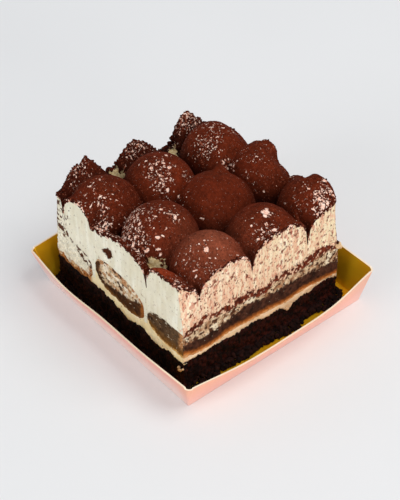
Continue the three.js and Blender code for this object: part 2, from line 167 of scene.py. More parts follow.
# Along the right cut (y, z), going up: where the orange-brown line starts, the soaked part,
# the porous part, the crust and the end of the cocoa that lies on it.
RIGHT_FOOT = (
    (-36, 15.4), (-31, 14.2), (-22, 13.7), (-17.8, 14.4), (-9, 14.1), (0, 13.5), (5, 13.2),
    (9.6, 12.4), (14.3, 13.2), (24, 12.8), (34, 11.7),
)
RIGHT_SOAK_FOOT = (
    (-36, 17.3), (-31, 15.4), (-22, 14.9), (-17.8, 15.8), (-9, 15.3), (0, 14.8), (9.6, 13.7),
    (14.2, 14.2), (24, 13.6), (34, 12.5),
)
RIGHT_SOAK_TOP = (
    (-36, 21), (-31, 21), (-26.6, 19.7), (-18, 20.6), (-9, 22.4), (0, 21.1), (9, 21.1),
    (18.6, 20.1), (28, 19.1), (34, 18),
)
RIGHT_CRUST = (
    (-36, 24.8), (-31, 25.3), (-26.5, 26.6), (-18, 25.8), (-13.4, 25.4), (-9, 25.8), (0, 24),
    (3, 25.3), (11, 24.5), (16, 24.5), (23, 25.8), (34, 24.6),
)
RIGHT_COCOA_TOP = (
    (-36, 27), (-31, 27.2), (-26.4, 28.8), (-22, 27.5), (-9, 28), (0, 26.2), (5, 27.6), (11, 26.8),
    (16, 26.8), (23, 28.2), (34, 26.4),
)
# Height of the soaked part of the middle ladyfinger at the front cut (x, z).
MIDDLE_SOAK = (
    (-14, 22.5), (-11.6, 20.4), (-8.3, 19), (-4.8, 19.7), (3, 20.8), (5.8, 21), (8.6, 23.1),
    (13, 24),
)

# Where the cream shows through the cocoa: x, y, spread, how many flecks, their size.
FLECKS = (
    # peaks at the left cut
    (-35.5, -28, 5.5, 150, 0.8), (-34, -3, 6.5, 170, 0.8), (-34.5, 20, 7, 260, 0.95),
    # third row
    (-22.5, -29, 5, 18, 0.8), (-16, -25, 6, 16, 0.7), (-16, -30.7, 2.6, 16, 0.8),
    (-12.5, -33, 3.4, 34, 1), (-10.2, -33.9, 2.6, 70, 1.1), (-17.5, -3, 6, 22, 0.9),
    (-13.2, -9, 5.4, 80, 1), (-9.5, -9.5, 3.4, 30, 1), (-15, 13, 5, 80, 0.9),
    (-18.5, 21, 7.5, 90, 0.9),
    # second row
    (-5, -26, 4.2, 70, 1), (-1, -31, 4.2, 80, 1.1), (5.5, -31.5, 4.2, 60, 1.1),
    (2.5, -24, 6.5, 50, 0.9), (7.5, -19.5, 2.6, 26, 1), (-8.5, 0.5, 2.6, 22, 0.9),
    (-3, -7.5, 3, 14, 0.8), (-6.5, 15.5, 2.6, 24, 1.2), (1.5, 23.5, 6.5, 40, 0.75),
    (5, 15.5, 4, 16, 0.7),
    # the row at the right cut
    (24, -27, 6, 60, 0.8), (29.5, -23, 3.6, 22, 0.8), (27, -18, 6, 14, 0.7),
    (30.5, 2, 4, 52, 0.9), (28, -3.5, 3.6, 14, 0.8), (30.5, 26, 4.6, 150, 1),
    (24.5, 21, 5, 34, 0.7),
    # the low row at the front cut
    (-22, -35, 4, 30, 0.8), (-5, -34.6, 3.4, 44, 0.9), (9.5, -35, 3.5, 26, 0.8),
    (28.5, -35.2, 3, 36, 0.8),
    # over the left and back edges
    (-20, 33, 9, 60, 0.8), (12, 31, 9, 30, 0.7),
)
# Single larger marks in the cocoa: x, y, length, width, turn in degrees.
MARKS = (
    # on the domes at the right cut
    (25.7, 4.7, 3.3, 2.5, 50), (24.9, 5.9, 1.9, 1.4, 120), (26.7, 3.7, 2, 1.2, 50),
    (31.4, 3.5, 2.1, 1.1, 60), (30.3, -2.3, 1.5, 0.9, 50),
    (26, -1.6, 1.2, 0.8, 140), (26.5, -21, 2.2, 1.7, 120), (23.5, -19.3, 1, 0.8, 140),
    (23.3, -21.4, 0.9, 0.7, 95), (31.4, -12, 1.2, 0.7, 50), (31.3, 25.2, 2.2, 1.6, 120),
    (26.8, 29.6, 2.2, 1.4, 50), (29.3, 25.2, 1.8, 1.3, 95), (30.3, 29.2, 1.8, 1.3, 140),
    (25.3, 24.2, 1.4, 0.9, 50), (31.6, 27, 1.8, 1.2, 140), (27.9, -26.9, 1.9, 0.6, 50),
    (29, -27.4, 1.6, 0.6, 95),
    # in the creases
    (-2.6, 15.4, 1.3, 0.9, 140), (-3.7, 16.5, 1.6, 1, 140), (10, 18.1, 1.1, 0.7, 50),
    (8.3, -7.5, 2, 0.7, 30), (-5.4, -6.3, 1.6, 0.9, 120), (9.1, -31.3, 2.4, 1.2, 60),
    (11.7, -28.8, 1.9, 0.9, 50), (12.7, -28.7, 1.6, 0.9, 95),
    # second row
    (8.5, -19, 2.4, 1.3, 130), (3.7, -21, 1.5, 0.9, 60), (9.9, -27.5, 1.8, 1.2, 50),
    (3.3, -31.5, 1.8, 1.1, 95), (0.9, -32.1, 1.4, 0.9, 50), (2.1, -28.7, 1.9, 1, 95),
    (3.9, -33, 2.2, 1.2, 140),
    # third row
    (-7.8, -9.1, 2, 1.1, 140), (-14.8, -5.1, 1.4, 1.1, 50), (-12.5, -4.5, 1.7, 1.4, 95),
    (-15.9, -9.5, 1.5, 1.1, 50), (-20.1, -8.6, 1.1, 0.8, 50), (-17.8, -1.5, 1.7, 1.1, 140),
    (-16.4, -31.6, 1.9, 0.55, 110), (-17.2, -30.1, 1.8, 0.55, 60), (-15.8, -29.3, 1.5, 0.55, 20),
    (-14.8, -30.9, 1.7, 0.55, 130), (-18.4, -33.2, 3.2, 0.5, 105), (-23, -29.8, 1.5, 0.9, 50),
    (-22.8, -25.9, 1.8, 0.7, 140),
)
# Hollows between the domes where the cocoa never reached: x, y, radius.
BARE = (
    (11.8, -31, 1.9), (13.2, -30.1, 1.7), (14.8, -29.1, 1.4), (-33.2, -12.4, 1.7),
    (-30.6, -11.6, 1.5), (-31.2, 12, 1.7), (-28.8, 11.2, 1.5), (-4.4, -34, 1.2),
)


# ------------ noise

def lattice(ix, iy, iz, seed):
    """A fixed value from -1 to 1 for each whole-number place."""
    h = (ix * 374761393 + iy * 668265263 + iz * 1274126177 + seed * 144665) & 0xFFFFFFFF
    h = ((h ^ (h >> 13)) * 1274126177) & 0xFFFFFFFF
    h = ((h ^ (h >> 16)) * 2246822519) & 0xFFFFFFFF
    return ((h ^ (h >> 13)) & 0xFFFFFFFF) / 2147483647.5 - 1


def noise(p, size, seed):
    """Smooth noise from -1 to 1 at points p, with features about size across."""
    q = p / size
    cell = np.floor(q)
    f = q - cell
    s = f * f * (3 - 2 * f)
    cell = cell.astype(np.int64)
    total = 0
    for corner in range(8):
        bit = (corner & 1, corner >> 1 & 1, corner >> 2)
        weight = 1
        for axis in range(3):
            weight = weight * (s[..., axis] if bit[axis] else 1 - s[..., axis])
        total = total + weight * lattice(*(cell[..., a] + bit[a] for a in range(3)), seed)
    return total


def fractal(p, size, seed, octaves=3, gain=0.55):
    total, weight, scale = 0, 1, 0
    for k in range(octaves):
        total = total + weight * noise(p, size / 2 ** k, seed + 17 * k)
        scale += weight
        weight *= gain
    return total / scale


def crumbs(p, size, seed):
    """Rounded lumps from 0 to 1 packed side by side, with pits between them."""
    q = p / size
    cell = np.floor(q).astype(np.int64)
    nearest = np.full(p.shape[:-1], 9)
    for step in np.ndindex(3, 3, 3):
        ids = np.moveaxis(cell + step - 1, -1, 0)
        jitter = [0.5 + 0.45 * lattice(*ids, seed + a) for a in range(3)]
        away = sum((q[..., a] - ids[a] - jitter[a]) ** 2 for a in range(3))
        nearest = np.minimum(nearest, away)
    return 1 - np.clip(nearest, 0, 1)


def ramp(x, a, b):
    """0 below a, 1 above b, smooth between."""
    t = np.clip((x - a) / (b - a), 0, 1)
    return t * t * (3 - 2 * t)


def bell(x, centre, width):
    return np.exp(-(((x - centre) / width) ** 2))


def along(knots, x):
    """Smooth curve through (place, value) knots."""
    xs, ys = np.array(knots, float).T
    slope = np.gradient(ys, xs)
    k = np.clip(np.searchsorted(xs, x) - 1, 0, len(xs) - 2)
    step = xs[k + 1] - xs[k]
    t = np.clip((x - xs[k]) / step, 0, 1)
    return ((2 * t ** 3 - 3 * t ** 2 + 1) * ys[k] + (t ** 3 - 2 * t ** 2 + t) * step * slope[k]
            + (3 * t ** 2 - 2 * t ** 3) * ys[k + 1] + (t ** 3 - t ** 2) * step * slope[k + 1])


# ------------ the block's skin

def cut_point(u, v, z):
    """Points of the cut block at shares u, v of its width and depth, at height z."""
    lean = ramp(z, LEAN_FROM, LEAN_TO)
    front = FRONT + LEAN["front"] * lean
    back = BACK - LEAN["back"] * lean
    left = LEFT + LEAN["left"] * lean
    y = front + (back - front) * v
    shave = SHAVE * ramp(z, SHAVE_FROM, LEAN_TO) * (1 - ramp(y - front, 0, SHAVE_REACH))
    x = left + (RIGHT - LEAN["right"] * lean - shave - left) * u
    return np.stack(np.broadcast_arrays(x, y, z), -1).astype(float)


def rise(distance, top, fullness):
    away = np.minimum(1, np.abs(distance))
    return CREAM_BED + (top - CREAM_BED) * (1 - away ** fullness) ** (1 / fullness)


def cream_top(x, y):
    height = np.maximum.reduce([rise(np.hypot(x - dx, y - dy) / radius, top, fullness)
                                for dx, dy, radius, top, fullness in DOMES])
    edges = (("left", x - LEFT - LEAN["left"], y),
             ("right", RIGHT - LEAN["right"] - x, y),
             ("front", y - FRONT - LEAN["front"], x),
             ("back", BACK - LEAN["back"] - y, x))
    for name, inwards, place in edges:
        cut = np.maximum.reduce([rise((place - at) / half, top, fullness)
                                 for at, half, top, fullness in CUT_ARCS[name]])
        for at, deep in NOTCHES[name]:
            cut = cut - deep * bell(place, at, NOTCH_WIDTH)
        share = bell(np.maximum(0, inwards), 0, CUT_REACH)
        height = height + (cut - height) * share
    return height


def on_top(u, v, above):
    """Points of the domed surface, `above` the cream, at shares u, v."""
    z = np.full(np.broadcast(u, v).shape, TOP_GUESS)
    for _ in range(TOP_PASSES):
        p = cut_point(u, v, z)
        z = cream_top(p[..., 0], p[..., 1]) + above
    return cut_point(u, v, z)


def perimeter(fine, coarse):
    """Columns round the block from its front left corner: u, v and outward direction."""
    sides = (((0, 0), (1, 0), (0, -1), fine), ((1, 0), (1, 1), (1, 0), fine),
             ((1, 1), (0, 1), (0, 1), coarse), ((0, 1), (0, 0), (-1, 0), coarse))
    uv, out, side = [], [], []
    for k, (a, b, n, count) in enumerate(sides):
        t = np.arange(count)[:, None] / count
        uv.append(np.array(a) + t * (np.array(b) - a))
        normals = np.tile(np.array(n, float), (count, 1))
        corner = normals[0] + np.array(sides[k - 1][2])
        normals[0] = corner / np.hypot(*corner)
        out.append(normals)
        side.append(np.full(count, k))
    return np.concatenate(uv), np.concatenate(out), np.concatenate(side)


UV, OUT, SIDE = perimeter(fine=330, coarse=170)
FOOT = cut_point(UV[:, 0], UV[:, 1], FOOT_HEIGHT)
X, Y = FOOT[:, 0], FOOT[:, 1]
ON_FRONT, ON_RIGHT = SIDE == 0, SIDE == 1


def ragged(amount, size, seed):
    """A wandering offset for each column, for a torn edge."""
    p = np.stack([X, Y, np.zeros_like(X)], -1)
    return amount * fractal(p, size, seed, 3, 0.7)


def sponge_line():
    z = 10.3 + 0.02 * X - 0.04 * Y
    z = np.where(ON_FRONT, along(SPONGE_FRONT, X), z)
    z = np.where(ON_RIGHT, along(SPONGE_RIGHT, Y) + ragged(0.6, 0.55, 13), z)
    return z + ragged(0.75, 2.4, 11) + ragged(0.7, 0.9, 12)


def finger_lines(k):
    """Underside and top of one ladyfinger at each column, equal where it isn't cut."""
    x0, z0, width, thick, growth, tilt = FINGERS[k]
    t = (Y + 40) / 80
    wobble = ragged(0.35, 3, 30 + k)
    reach = (X + 0.6 * wobble - x0) / (width / 2)
    share = (1 - np.clip(np.abs(reach), 0, 1) ** FINGER_SQUARENESS) ** (1 / FINGER_SQUARENESS)
    middle = z0 + FINGER_SLOPE_Y * Y + (X - x0) * math.tan(math.radians(tilt))
    half = (thick + growth * t) / 2 * share
    foot = middle - half + ragged(0.35, 2.2, 40 + k) * share
    top = middle + half + ragged(0.45, 2.6, 50 + k) * share
    if k == LAST:
        near = ramp(Y, -36, -33) * ON_RIGHT
        foot = foot + near * (along(RIGHT_FOOT, Y) + ragged(0.4, 1.6, 61) - foot)
        top = top + near * (along(RIGHT_COCOA_TOP, Y) + ragged(0.8, 1.8, 62)
                            + ragged(0.9, 0.8, 63) - top)
    return foot, top, share


# ------------ mesh making

def srgb(r, g, b):
    """A colour as seen on screen, 0 to 255, as linear light."""
    c = np.array((r, g, b), float) / 255
    return np.where(c <= 0.04045, c / 12.92, ((c + 0.055) / 1.055) ** 2.4)


def grid_faces(rows, cols, closed=False):
    across = cols if closed else cols - 1
    j, i = np.mgrid[0:rows - 1, 0:across]
    n = (i + 1) % cols
    quads = np.stack([j * cols + i, j * cols + n, (j + 1) * cols + n, (j + 1) * cols + i], -1)
    return quads.reshape(-1, 4)


def add_object(name, data):
    thing = bpy.data.objects.new(name, data)
    scene.collection.objects.link(thing)
    return thing


def make_piece(name, verts, faces, materials, node, slot, tint=None, face_material=None,
               **masks):
    """A visible piece from points in millimetres, with a colour and masks at each point."""
    verts = verts.reshape(-1, 3)
    mesh = bpy.data.meshes.new(name)
    mesh.vertices.add(len(verts))
    mesh.vertices.foreach_set("co", (verts * MM).astype(np.float32).ravel())
    mesh.loops.add(faces.size)
    mesh.loops.foreach_set("vertex_index", faces.astype(np.int32).ravel())
    mesh.polygons.add(len(faces))
    starts = np.arange(0, faces.size, faces.shape[1], dtype=np.int32)
    mesh.polygons.foreach_set("loop_start", starts)
    mesh.update(calc_edges=True)
    mesh.validate()
    mesh.shade_smooth()
    if tint is not None:
        rgba = np.ones((len(verts), 4), np.float32)
        rgba[:, :3] = np.reshape(tint, (-1, 3))
        layer = mesh.color_attributes.new("tint", "FLOAT_COLOR", "POINT")
        layer.data.foreach_set("color", rgba.ravel())
    for key, values in masks.items():
        values = np.broadcast_to(np.ravel(values), len(verts)).astype(np.float32)
        mesh.attributes.new(key, "FLOAT", "POINT").data.foreach_set("value", values)
    for material in materials:
        mesh.materials.append(material)
    if face_material is not None:
        mesh.polygons.foreach_set("material_index", face_material.astype(np.int32))
    piece = add_object(name, mesh)
    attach(piece, "root")
    if node:
        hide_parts(node)
    return piece


# ------------ materials

class Graph:
    """A material's node tree, with short calls for the nodes that the materials use."""

    def __init__(self, name):
        self.material = bpy.data.materials.new(name)
        self.material.use_nodes = True
        self.tree = self.material.node_tree
        self.shader = self.tree.nodes["Principled BSDF"]
        self.coords = self.node("TexCoord", {}, "Object")

    def put(self, socket, value):
        if isinstance(value, bpy.types.NodeSocket):
            self.tree.links.new(value, socket)
        elif hasattr(socket.default_value, "__len__"):
            socket.default_value = (*value, 1)[:len(socket.default_value)]
        else:
            socket.default_value = float(value)

    def node(self, kind, inputs, output=0, **settings):
        node = self.tree.nodes.new("ShaderNode" + kind)
        for key, value in settings.items():
            setattr(node, key, value)
        for key, value in inputs.items():
            self.put(node.inputs[key], value)
        return node.outputs[output]

    def attribute(self, name, output="Fac"):
        return self.node("Attribute", {}, output, attribute_name=name)

    def noise(self, size_mm, detail=3, rough=0.55, distortion=0, stretch=None):
        coords = self.coords
        if stretch:
            coords = self.node("Mapping", {"Vector": coords, "Scale": stretch}, "Vector")
        return self.node("TexNoise", {"Vector": coords, "Scale": 1000 / size_mm, "Detail": detail,
                                      "Roughness": rough, "Distortion": distortion}, "Fac")

    def math(self, operation, *values):
        return self.node("Math", dict(enumerate(values)), operation=operation)

    def times(self, *values):
        return reduce(lambda a, b: self.math("MULTIPLY", a, b), values)

    def plus(self, *values):
        return reduce(lambda a, b: self.math("ADD", a, b), values)

    def fit(self, value, low, high, to_low=0, to_high=1):
        return self.node("MapRange", {"Value": value, "From Min": low, "From Max": high,
                                      "To Min": to_low, "To Max": to_high})

    def sway(self, noise, low, high):
        """Noise, which seldom leaves 0.3 to 0.7, as values from low to high."""
        return self.fit(noise, 0.3, 0.7, low, high)

    def mix(self, share, a, b):
        return self.node("Mix", {0: share, 6: a, 7: b}, 2, data_type="RGBA")

    def tinted(self, *shades):
        """The piece's own colour at each point, times the shades."""
        own = self.attribute("tint", "Color")
        return self.node("VectorMath", {0: own, "Scale": self.times(*shades)}, operation="SCALE")

    def patches(self, density, size_mm, rare=0.7, common=0.52, soft=0.04):
        """1 in scattered patches that grow more common as density goes from 0 to 1."""
        edge = self.fit(density, 0, 1, rare, common)
        over = self.math("SUBTRACT", self.noise(size_mm, 3, 0.6, 0.6), edge)
        return self.fit(over, 0, soft)

    def bump(self, height, depth_mm, strength):
        return self.node("Bump", {"Height": height, "Strength": strength,
                                  "Distance": depth_mm * MM}, "Normal")

    def set(self, **values):
        for key, value in values.items():
            name = key.replace("_", " ").title().replace("Ior", "IOR")
            self.put(self.shader.inputs[name], value)
        return self.material


def cocoa_material():
    """Powder, torn open where "fleck" is high, dusty with "dust" and missing at "bare"."""
    g = Graph("cocoa_powder")
    powder = g.noise(0.5, 4, 0.7)
    grain = g.noise(1.5, 3, 0.6)
    scratch = g.noise(0.6, 2, 0.6, 0.3, stretch=(0.25, 1, 1))
    dust = g.attribute("dust")
    torn = g.plus(g.attribute("fleck"), g.sway(g.noise(0.5, 3, 0.7), -0.45, 0.45))
    light = g.fit(torn, 0.34, 0.6)
    shadow = g.times(g.fit(torn, -0.05, 0.32), g.math("SUBTRACT", 1, light))
    grit = g.patches(dust, 0.7, 0.7, 0.49, 0.05)
    faint = g.patches(dust, 0.75, 0.74, 0.54, 0.06)
    colour = g.tinted(g.sway(g.noise(5, 3, 0.6), 0.84, 1.16), g.sway(powder, 0.52, 1.52),
                      g.fit(scratch, 0.35, 0.65, 0.9, 1.1), g.sway(grain, 0.74, 1.26),
                      g.fit(shadow, 0, 1, 1, 0.5), g.fit(grit, 0, 1, 1, 0.45))
    cream = g.mix(g.fit(g.noise(0.8, 2), 0.35, 0.65), srgb(255, 226, 208), srgb(226, 164, 138))
    beneath = g.mix(g.fit(g.noise(0.9), 0.35, 0.65), srgb(226, 206, 160), srgb(188, 158, 108))
    bare = g.plus(g.attribute("bare"), g.sway(g.noise(1.1, 3, 0.6), -0.4, 0.4))
    colour = g.mix(g.times(faint, 0.8), colour, srgb(164, 92, 68))
    colour = g.mix(light, colour, cream)
    colour = g.mix(g.fit(bare, 0.45, 0.6), colour, beneath)
    relief = g.plus(g.times(powder, 0.35), g.times(grain, 0.5), g.times(light, 0.6))
    return g.set(base_color=colour, roughness=g.fit(light, 0, 1, 0.95, 0.6),
                 normal=g.bump(relief, 0.28, 0.7), specular_ior_level=0.05)


def crumb_material(name, dark, light, pore_mm, gloss, rough=0.85, depth=0.25):
    """Baked crumb: tint with fine pores, dark specks and lighter crumbs."""
    g = Graph(name)
    grain = g.noise(pore_mm * 1.2, 4, 0.65, 0.4)
    fine = g.noise(pore_mm * 0.45, 3, 0.7)
    specks = g.patches(g.attribute("speck"), pore_mm * 0.9)
    crumb = g.patches(g.attribute("crumb"), pore_mm * 1.1)
    colour = g.tinted(g.sway(grain, 0.72, 1.26), g.sway(fine, 0.84, 1.16))
    colour = g.mix(crumb, g.mix(specks, colour, dark), light)
    pores = g.node("TexVoronoi", {"Vector": g.coords, "Scale": 1000 / pore_mm}, "Distance")
    relief = g.plus(g.times(grain, 0.8), g.times(pores, -0.5), g.times(specks, -0.5),
                    g.times(crumb, 0.4))
    return g.set(base_color=colour, roughness=g.sway(grain, rough - 0.1, rough + 0.08),
                 normal=g.bump(relief, depth, 0.9), specular_ior_level=gloss)


def cream_material(name, speck_colour, rough=0.5):
    """Whipped cream: soft light under the skin, knife marks and cocoa specks.

    Where "drawn" is 1 the knife has dragged cocoa down through it in fine upright streaks."""
    g = Graph(name)
    drawn = g.attribute("drawn")
    soft = g.noise(2.5, 3, 0.5)
    fine = g.noise(0.5, 3, 0.6)
    streak = g.noise(0.8, 3, 0.7, 0.3, stretch=(1, 1, 0.3))
    dash = g.noise(0.85, 3, 0.65, 0.4, stretch=(1, 1, 0.5))
    dash = g.math("SUBTRACT", dash, g.fit(drawn, 0, 1, 0.9, 0.57))
    specks = g.patches(g.attribute("speck"), 0.8)
    colour = g.tinted(g.sway(soft, 0.96, 1.03), g.sway(fine, 0.97, 1.02))
    colour = g.mix(g.times(g.fit(streak, 0.48, 0.64), drawn), colour, srgb(222, 162, 130))
    colour = g.mix(g.fit(dash, 0, 0.05), colour, srgb(134, 62, 42))
    colour = g.mix(specks, colour, speck_colour)
    relief = g.plus(g.times(soft, 0.6), g.times(fine, 0.25), g.times(streak, drawn, 0.9),
                    g.times(specks, 0.3))
    smooth = g.sway(soft, rough - 0.08, rough + 0.12)
    dull = g.fit(g.node("RGBToBW", {0: colour}), 0.05, 0.4, 1, 0.4)
    return g.set(base_color=colour, roughness=g.math("MAXIMUM", smooth, dull),
                 normal=g.bump(relief, 0.18, 0.6), specular_ior_level=0.25,
                 subsurface_weight=0.15, subsurface_scale=0.0008,
                 subsurface_radius=(1, 0.75, 0.5))


def gold_material():
    g = Graph("gold_foil")
    broad = g.noise(14, 2, 0.5)
    fine = g.noise(0.8, 3, 0.6)
    smears = g.noise(4, 4, 0.6, 0.8)
    colour = g.mix(g.sway(broad, 0, 1), srgb(255, 186, 16), srgb(255, 204, 34))
    return g.set(base_color=colour, metallic=0.55, roughness=g.sway(smears, 0.3, 0.44),
                 normal=g.bump(g.plus(broad, g.times(fine, 0.04)), 0.35, 0.35))


def rim_material():
    g = Graph("card_core")
    fibres = g.noise(0.35, 4, 0.7, 0.2)
    colour = g.mix(fibres, srgb(255, 240, 214), srgb(250, 222, 190))
    return g.set(base_color=colour, roughness=g.sway(fibres, 0.55, 0.75),
                 normal=g.bump(fibres, 0.05, 0.5), specular_ior_level=0.3)


def outside_material():
    """Paler than the inside, salmon towards the rim. Painted reflection: pale pink towards its
    foot, standing in for the floor seen in the foil. Painted light: the right wall is a deeper
    pink, as if lit.
    """
    g = Graph("card_outside")
    fibres = g.noise(0.6, 4, 0.65)
    x, _, z = g.node("SeparateXYZ", {0: g.coords}).node.outputs
    # painted reflection: low is 0 at the foot, where the wall is paler, standing in for the floor
    # reflected in the foil
    low = g.fit(z, 0.004, 0.012)
    pale = g.mix(low, srgb(255, 228, 220), srgb(255, 186, 165))
    deep = g.mix(low, srgb(255, 196, 178), srgb(255, 190, 156))
    # painted light: the right wall, from x = 0.036 to 0.041 m outwards, takes the deeper pinks of
    # a lit side
    colour = g.mix(g.fit(x, 0.036, 0.041), pale, deep)
    return g.set(base_color=colour, metallic=0.75, roughness=g.sway(fibres, 0.3, 0.4),
                 normal=g.bump(fibres, 0.04, 0.3), specular_ior_level=0.4)


def floor_material():
    g = Graph("studio_floor")
    colour = g.mix(g.noise(60, 2, 0.5), (0.8, 0.8, 0.8), (0.82, 0.82, 0.82))
    return g.set(base_color=colour, roughness=0.7, specular_ior_level=0.2)


COCOA = cocoa_material()
CREAM = cream_material("mascarpone", srgb(92, 50, 30))
CUSTARD = cream_material("custard", srgb(120, 78, 44), rough=0.45)
SPONGE = crumb_material("dark_sponge", srgb(8, 3, 4), srgb(70, 32, 24), 1.1, gloss=0.15,
                        rough=0.9, depth=0.4)
FINGER = crumb_material("ladyfinger_crumb", srgb(56, 29, 14), srgb(238, 222, 192), 0.95, gloss=0.1)

# ------------ the sides

LIP = 1.6  # how far each layer's edge turns in behind the cut
EDGE_DEPTH, EDGE_WIDTH = 0.12, 0.5  # the groove where two layers meet
CORNER_WIDTH = 0.9  # how far from an upright edge its rounding reaches

from_corner = np.where(SIDE % 2,
                       np.minimum(np.abs(Y - FRONT), np.abs(Y - BACK)),
                       np.minimum(np.abs(X - LEFT), np.abs(X - RIGHT)))
AT_CORNER = bell(from_corner, 0, CORNER_WIDTH)


def wall(foot, top, relief, rows, columns=None, drop=0, corner=0.3):
    """A band of the cut skin between two lines, with its edges turned in.

    relief(p) pushes each point out, in millimetres; corner is how far the block's upright
    edges are drawn in. Gives rows of points from the foot to the top, their faces and each
    row's share of the way up."""
    pick = np.arange(len(UV)) if columns is None else columns
    share = np.linspace(0, 1, rows)[:, None]
    z = foot[pick] + (top[pick] - foot[pick]) * share
    p = cut_point(UV[pick, 0], UV[pick, 1], z)
    inset = np.minimum(z - foot[pick], top[pick] - z)
    push = relief(p) - corner * AT_CORNER[pick] - EDGE_DEPTH * (1 - ramp(inset, 0, EDGE_WIDTH))
    n = np.concatenate([OUT[pick], np.zeros((len(pick), 1))], 1)
    p = p + push[..., None] * n
    p = np.concatenate([p[:1] - LIP * n, p, p[-1:] - LIP * n - (0, 0, drop)])
    share = np.concatenate([[[0]], share, [[1]]])
    return p, grid_faces(rows + 2, len(pick), closed=columns is None), share


def join(parts):
    """One mesh from several (verts, faces)."""
    verts, faces = zip(*parts)
    starts = np.cumsum([0] + [len(v) for v in verts])
    return np.concatenate(verts), np.concatenate([f + n for f, n in zip(faces, starts)])


def blend(share, a, b):
    share = np.clip(share, 0, 1)[..., None]
    return a * (1 - share) + b * share


def mottle(value, a, b, swing=0.5):
    """Between two screen colours as value goes from -1 to 1."""
    return blend(0.5 + swing * value, srgb(*a), srgb(*b))


def paint(colour, *coats):
    """colour under coats laid over it one by one: a share and a screen colour each."""
    for share, *rgb in coats:
        colour = blend(share, colour, srgb(*rgb))
    return colour


def soft_step(x, width):
    """0 to 1 as x goes from minus to plus half the width."""
    return ramp(x, -width / 2, width / 2)


def dabs(p, size, seed, amount):
    """Ragged dabs about size across, rare at an amount of 0.3 and crowded at 1."""
    return soft_step(noise(p, size, seed) + 0.3 * noise(p, size / 2, seed + 1) - 1.1 + amount, 0.2)


# -- sponge

SPONGE_SPREAD = 1.3
sponge_top = sponge_line()


def sponge_relief(p):
    lumps = 0.95 * crumbs(p, 2.1, 5) + 0.5 * crumbs(p, 1, 6)
    spread = SPONGE_SPREAD * (1 - ramp(p[..., 2], CAKE_FOOT, 4)) * (0.5 + 0.5 * noise(p, 6, 10))
    return lumps - 1.1 + 0.4 * noise(p, 5, 7) + spread


p, faces, _ = wall(np.full(len(X), CAKE_FOOT), sponge_top, sponge_relief, rows=44, corner=0.35)
lit = ramp(crumbs(p, 1.5, 8) + 0.3 * noise(p, 3, 9), 0.45, 1)
tint = blend(lit, srgb(14, 5, 5), srgb(44, 19, 14))
tint = tint * np.where(ON_RIGHT[:, None], (1.5, 0.9, 0.8), 1)
make_piece("sponge", p, faces, [SPONGE], "chocolate_sponge", "chocolate_sponge", tint,
           speck=0.5, crumb=0.26)

# -- ladyfingers

GAP = 0.35  # least height of custard between the sponge and a ladyfinger
UNCUT = 99  # stands for no ladyfinger at a column
FEWEST_COLUMNS = 4  # for a cut worth building
lines = [finger_lines(k) for k in range(3)]
finger_foot = np.minimum.reduce([np.where(s > 0, f, UNCUT) for f, t, s in lines])
finger_top = np.maximum.reduce([np.where(s > 0, t, -UNCUT) for f, t, s in lines])
seam = SEAM_HEIGHT + SEAM_SLOPE_Y * Y + ragged(0.25, 2.5, 71)
in_gap = finger_top < 0
cream_foot = np.where(in_gap, seam, finger_top)
custard_top = np.maximum(np.where(in_gap, seam, finger_foot), sponge_top + GAP)


def runs(mask):
    """Column ranges where mask holds, going once round the block."""
    start = int(np.argmin(mask))
    held = np.flatnonzero(np.roll(mask, -start))
    parts = np.split(held, np.flatnonzero(np.diff(held) > 1) + 1)
    return [(part + start) % len(mask) for part in parts]


def finger_relief(p):
    return 0.5 * crumbs(p, 1.2, 15) + 0.25 * crumbs(p, 0.6, 16) - 0.62 + 0.15 * noise(p, 4, 17)


def chain(p):
    """Dark dabs along CHAIN, from 0 to 1."""
    near = bell(p[..., 2] - along(CHAIN, p[..., 0]), 0, 1.4) * soft_step(-16.5 - p[..., 0], 2)
    return dabs(p, 1.2, 112, 1.4 * near)


# Each look gives the colour, the dark specks and the pale crumbs over a ladyfinger's cut.

def first_finger(p, reach, share, soft, fine):
    """Hardly soaked: as pale as the cream over a thin brown crust, with a brown end."""
    crust = np.maximum(soft_step(0.15 - share + 0.12 * soft + 0.06 * fine, 0.08),
                       soft_step(reach - 0.8 + 0.14 * soft, 0.16) * soft_step(0.6 - share, 0.3))
    brown = mottle(noise(p, 1.1, 101), (196, 128, 68), (120, 66, 28))
    pale = soft_step(noise(p, 1.6, 102) - 0.35, 0.2) * crust
    rim = soft_step(share - 0.9 + 0.1 * soft, 0.06) * soft_step(noise(p, 2, 103) + 0.15, 0.3)
    colour = blend(crust, mottle(fine, (240, 234, 214), (222, 212, 186)), brown)
    colour = paint(colour, (0.7 * pale, 226, 196, 150), (rim, 96, 58, 34), (chain(p), 84, 48, 28))
    return colour, 0.16 + 0.4 * crust + 0.3 * rim, 0.2 + 0.3 * crust


def middle_finger(p, reach, share, soft, fine):
    """Soaked along its underside and ends, porous in the middle."""
    toast = soft_step(noise(p, 1.3, 104) - 0.15 + 0.5 * ramp(share, 0.75, 1), 0.4)
    crumb = paint(mottle(fine, (226, 206, 172), (176, 142, 104)), (0.7 * toast, 172, 108, 54),
                  (0.8 * dabs(p, 1.5, 113, 0.8), 240, 226, 202),
                  (dabs(p, 1, 115, 0.62), 70, 42, 24))
    level = along(MIDDLE_SOAK, p[..., 0]) + 0.8 * soft + 0.35 * fine
    soak = np.maximum(soft_step(level - p[..., 2], 1.1),
                      soft_step(-reach - 0.8 + 0.08 * soft, 0.1) * (share < 0.9))
    tip = soft_step(reach - 0.86 + 0.1 * soft, 0.2) * soft_step(share - 0.05, 0.2)
    dark = paint(mottle(noise(p, 1.3, 105), (86, 52, 26), (44, 24, 10)),
                 (soft_step(0.07 - share + 0.06 * soft, 0.16), 130, 84, 34), (tip, 144, 84, 34))
    return blend(soak, crumb, dark), 0.42 - 0.06 * soak, 0.42 * (1 - soak) + 0.04


